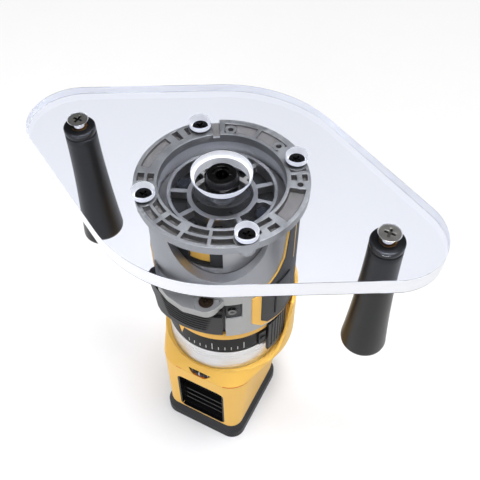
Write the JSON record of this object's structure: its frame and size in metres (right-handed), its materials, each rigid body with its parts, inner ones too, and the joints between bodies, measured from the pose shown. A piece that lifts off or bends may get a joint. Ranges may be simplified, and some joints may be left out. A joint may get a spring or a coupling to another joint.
{
  "type": "trim router",
  "caption": "Compact cordless trim router with adjustable base, clear lozenge base plate and two turned handles, standing on its battery foot.",
  "frame": {"origin": "on the spindle axis, level with the bottom of the battery foot", "axes": "+Z along the spindle from the foot to the cutter, +X along the plate's long axis, -Y towards the front with the speed dial"},
  "size_m": [0.22, 0.1332, 0.203],
  "materials": {
    "clear_acrylic": "clear",
    "cast_aluminium": "satin cast",
    "turned_aluminium": "fine turned",
    "yellow_plastic": "fine texture",
    "black_plastic": "satin",
    "gloss_black": "gloss",
    "black_rubber": "matte",
    "bright_steel": "polished",
    "black_steel": "black oxide",
    "brass": "bright",
    "copper_wire": "enamelled",
    "board_green": "solder mask",
    "dark_lens": "clear"
  },
  "bodies": {
    "motor": {"motor_can": "turned_aluminium", "nose_cap": "cast_aluminium", "nose_shield": "black_plastic", "bearing_cover": "black_plastic", "led_board": "board_green", "led_lenses": "dark_lens", "lock_shroud": "black_plastic", "lock_spring": "bright_steel", "stator_core": "black_steel", "windings": "copper_wire", "front_bearing": "bright_steel", "rear_bearing": "bright_steel", "end_bell": "black_plastic", "head_upper": "yellow_plastic", "head_lower": "yellow_plastic", "latch_pocket": "black_plastic", "dial_pot": "black_plastic", "foot_overmold": "black_rubber", "battery_rails": "black_plastic", "terminal_block": "black_plastic", "terminals": "brass", "controller_board": "board_green", "capacitor": "bright_steel", "foot_screws": "bright_steel"},
    "base": {"clear_plate": "clear_acrylic", "plate_screws": "black_steel", "handle_left": "gloss_black", "handle_right": "gloss_black", "handle_screws": "bright_steel", "brass_inserts": "brass", "base_housing": "cast_aluminium", "grip_left": "black_rubber", "grip_right": "black_rubber", "grip_trim_left": "yellow_plastic", "grip_trim_right": "yellow_plastic", "clamp_plate": "black_plastic", "clamp_plate_screw": "black_steel", "lever_pin": "black_steel"},
    "ring": {"adjusting_ring": "gloss_black", "ring_accent": "yellow_plastic", "ring_lug": "black_plastic", "ring_clip": "black_plastic"},
    "lever": {"clamp_lever": "black_plastic"},
    "tab_left": {"release_tab_left": "black_plastic"},
    "tab_right": {"release_tab_right": "black_plastic"},
    "lock": {"lock_button": "yellow_plastic", "lock_pin": "bright_steel"},
    "rotor": {"spindle": "bright_steel", "collet": "black_steel", "rotor_core": "black_steel", "rotor_magnets": "bright_steel", "fan": "black_plastic"},
    "nut": {"collet_nut": "black_steel"},
    "dial": {"speed_dial": "black_plastic"},
    "power": {"power_button": "black_plastic"}
  },
  "joints": [
    {"name": "depth_slide", "type": "slide", "parent": "motor", "child": "base", "axis": [0, 0, 1], "range_m": [-0.002, 0.02]},
    {"name": "ring_turn", "type": "hinge", "parent": "base", "child": "ring", "pos_m": [0, 0, 0.1], "axis": [0, 0, 1], "range_deg": [-29, 284]},
    {"name": "lever_swing", "type": "hinge", "parent": "base", "child": "lever", "pos_m": [0.0103, -0.03844, 0.135], "axis": [0, 0, 1], "range_deg": [0, 45]},
    {"name": "tab_left_press", "type": "slide", "parent": "base", "child": "tab_left", "axis": [1, 0, 0], "range_m": [0, 0.002], "stiffness_N_per_m": 2000},
    {"name": "tab_right_press", "type": "slide", "parent": "base", "child": "tab_right", "axis": [-1, 0, 0], "range_m": [0, 0.002], "stiffness_N_per_m": 2000},
    {"name": "lock_press", "type": "slide", "parent": "motor", "child": "lock", "axis": [-0.1219, 0.9925, 0], "range_m": [0, 0.003], "stiffness_N_per_m": 1500},
    {"name": "spindle_spin", "type": "hinge", "parent": "motor", "child": "rotor", "pos_m": [0, 0, 0.1], "axis": [0, 0, 1], "continuous": true},
    {"name": "nut_turn", "type": "hinge", "parent": "rotor", "child": "nut", "pos_m": [0, 0, 0.195], "axis": [0, 0, 1], "range_deg": [0, 720]},
    {"name": "dial_turn", "type": "hinge", "parent": "motor", "child": "dial", "pos_m": [0.001, -0.0222, 0.066], "axis": [0, 0, 1], "range_deg": [-135, 135]},
    {"name": "power_press", "type": "slide", "parent": "motor", "child": "power", "axis": [0, -1, 0], "range_m": [0, 0.002], "stiffness_N_per_m": 1500}
  ],
  "couplings": [
    {"joint": "ring_turn", "follows": "depth_slide", "rad_per_m": 247.37}
  ]
}
